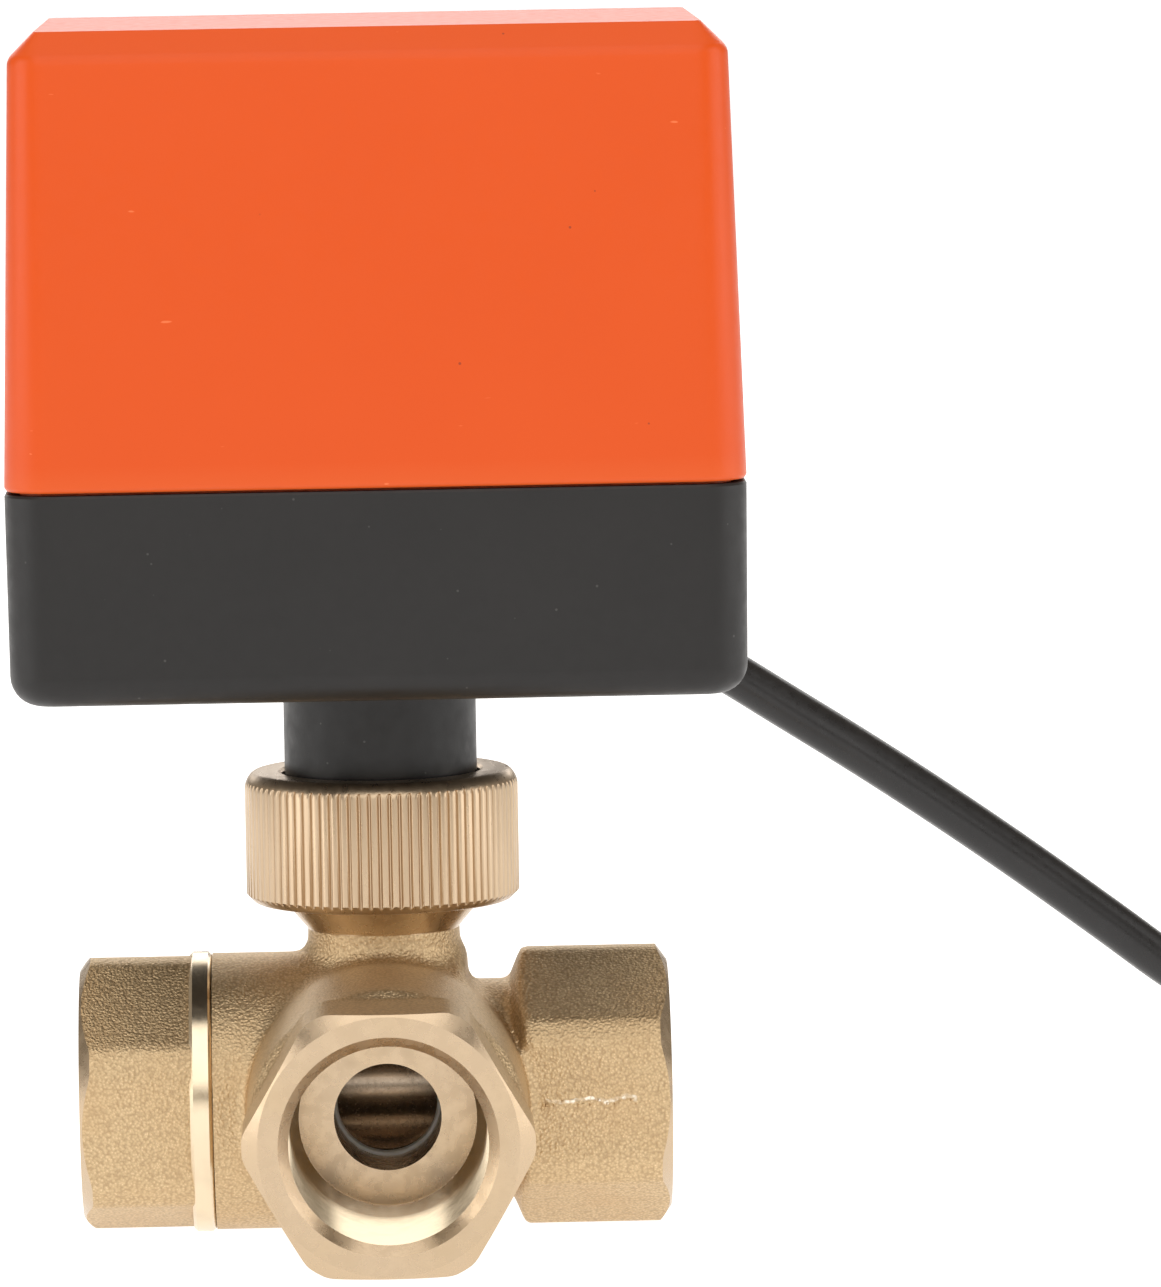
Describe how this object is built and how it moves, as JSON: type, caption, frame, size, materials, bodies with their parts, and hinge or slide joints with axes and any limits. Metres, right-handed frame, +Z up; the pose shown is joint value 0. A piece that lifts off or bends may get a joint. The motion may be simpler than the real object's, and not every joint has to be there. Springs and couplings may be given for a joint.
{
  "type": "motorized three-way ball valve",
  "caption": "Electric quarter-turn actuator with orange cover and black base, on a brass three-way ball valve with internal pipe threads, joined by a knurled union nut, with a short lead.",
  "frame": {"origin": "on the surface that the valve stands on, under the middle of its box without the lead", "axes": "+Z up along the stem, +X towards the right-hand port, +Y to the rear, away from the front port"},
  "size_m": [0.1913, 0.1196, 0.1259],
  "materials": {
    "cast_brass": "fine sand-blasted cast grain, turned faces smooth",
    "turned_brass": "turned, straight knurl, satin",
    "ball_chrome": "polished",
    "stem_brass": "turned",
    "ptfe": "waxy white",
    "seal_rubber": "matt black",
    "spring_steel": "bright spring strip",
    "black_housing": "satin charcoal moulding",
    "orange_cover": "semi-gloss orange moulding",
    "zinc_screw": "zinc plated",
    "sintered_bronze": "oil-filled sintered bronze",
    "steel_plate": "zinc plated sheet",
    "shaft_steel": "turned steel",
    "gear_plastic": "natural acetal",
    "copper_winding": "enamelled wire",
    "ferrite": "ferrite",
    "switch_black": "matt moulding",
    "plunger_red": "matt moulding",
    "board_green": "solder mask",
    "capacitor_yellow": "film capacitor case",
    "terminal_green": "moulded",
    "lead_pvc": "satin black PVC",
    "tie_nylon": "nylon",
    "core_blue": "PVC insulation",
    "core_brown": "PVC insulation",
    "core_yellow": "PVC insulation"
  },
  "bodies": {
    "frame": {"valve_body": "cast_brass", "end_cap": "cast_brass", "seat_left": "ptfe", "seat_right": "ptfe", "seat_front": "ptfe", "cap_seal": "ptfe", "thrust_washer": "ptfe", "cover_gasket": "seal_rubber", "nut_retaining_ring": "spring_steel", "base_housing": "black_housing", "cover": "orange_cover", "cover_screw_1": "zinc_screw", "cover_screw_2": "zinc_screw", "cover_screw_3": "zinc_screw", "cover_screw_4": "zinc_screw", "switch_screw_1": "zinc_screw", "switch_screw_2": "zinc_screw", "motor_screw_1": "zinc_screw", "motor_screw_2": "zinc_screw", "shaft_bushing": "sintered_bronze", "gear_plate_lower": "steel_plate", "gear_plate_upper": "steel_plate", "plate_pillar_1": "steel_plate", "plate_pillar_2": "steel_plate", "plate_pillar_3": "steel_plate", "plate_pillar_4": "steel_plate", "axle_a": "steel_plate", "axle_b": "steel_plate", "motor_end_plate": "steel_plate", "motor_can": "steel_plate", "stator_coil": "copper_winding", "switch_body_open": "switch_black", "switch_body_closed": "switch_black", "circuit_board": "board_green", "capacitor": "capacitor_yellow", "terminal_block": "terminal_green", "cable": "lead_pvc", "cable_coil": "lead_pvc", "cable_boot": "lead_pvc", "coil_tie": "tie_nylon", "core_1": "core_blue", "core_2": "core_brown", "core_3": "core_yellow"},
    "output_train": {"output_shaft": "shaft_steel", "output_gear": "shaft_steel", "cam": "gear_plastic", "stem": "stem_brass", "ball": "ball_chrome", "stem_oring_lower": "seal_rubber", "stem_oring_upper": "seal_rubber"},
    "gear_3": {"gear_3": "gear_plastic"},
    "gear_2": {"gear_2": "gear_plastic"},
    "gear_1": {"gear_1": "gear_plastic"},
    "rotor": {"rotor_magnet": "ferrite", "rotor_shaft": "shaft_steel"},
    "switch_lever_closed": {"switch_lever_closed": "spring_steel"},
    "switch_lever_open": {"switch_lever_open": "spring_steel"},
    "switch_plunger_closed": {"switch_plunger_closed": "plunger_red"},
    "switch_plunger_open": {"switch_plunger_open": "plunger_red"},
    "union_nut": {"union_nut": "turned_brass"}
  },
  "joints": [
    {"name": "output_turn", "type": "hinge", "parent": "frame", "child": "output_train", "pos_m": [0, 0.00565, 0.0546], "axis": [0, 0, 1], "range_deg": [0, 90]},
    {"name": "gear_3_spin", "type": "hinge", "parent": "frame", "child": "gear_3", "pos_m": [0.01229, -0.00295, 0.0806], "axis": [0, 0, 1], "continuous": true},
    {"name": "gear_2_spin", "type": "hinge", "parent": "frame", "child": "gear_2", "pos_m": [0.01533, 0.01174, 0.0846], "axis": [0, 0, 1], "continuous": true},
    {"name": "gear_1_spin", "type": "hinge", "parent": "frame", "child": "gear_1", "pos_m": [0.01229, -0.00295, 0.0876], "axis": [0, 0, 1], "continuous": true},
    {"name": "rotor_spin", "type": "hinge", "parent": "frame", "child": "rotor", "pos_m": [0, 0.00565, 0.1046], "axis": [0, 0, 1], "continuous": true},
    {"name": "lever_closed_swing", "type": "hinge", "parent": "frame", "child": "switch_lever_closed", "pos_m": [-0.0135, -0.00235, 0.0646], "axis": [0, 0, 1], "range_deg": [-5, 0]},
    {"name": "lever_open_swing", "type": "hinge", "parent": "frame", "child": "switch_lever_open", "pos_m": [-0.0135, -0.00235, 0.0711], "axis": [0, 0, 1], "range_deg": [0, 5]},
    {"name": "plunger_closed_slide", "type": "slide", "parent": "frame", "child": "switch_plunger_closed", "axis": [1, 0, 0], "range_m": [0, 0.0004821]},
    {"name": "plunger_open_slide", "type": "slide", "parent": "frame", "child": "switch_plunger_open", "axis": [1, 0, 0], "range_m": [-0.0004821, 0]},
    {"name": "nut_lift", "type": "slide", "parent": "frame", "child": "union_nut", "axis": [0, 0, 1], "range_m": [0, 0.0095]}
  ],
  "couplings": [
    {"joint": "gear_3_spin", "follows": "output_turn", "ratio": -4},
    {"joint": "gear_2_spin", "follows": "output_turn", "ratio": 16},
    {"joint": "gear_1_spin", "follows": "output_turn", "ratio": -64},
    {"joint": "rotor_spin", "follows": "output_turn", "ratio": 256},
    {"joint": "lever_closed_swing", "follows": "output_turn", "ratio": -0.055556},
    {"joint": "lever_open_swing", "follows": "output_turn", "ratio": 0.055556},
    {"joint": "plunger_closed_slide", "follows": "output_turn", "m_per_rad": 0.0003069},
    {"joint": "plunger_open_slide", "follows": "output_turn", "m_per_rad": -0.0003069}
  ]
}
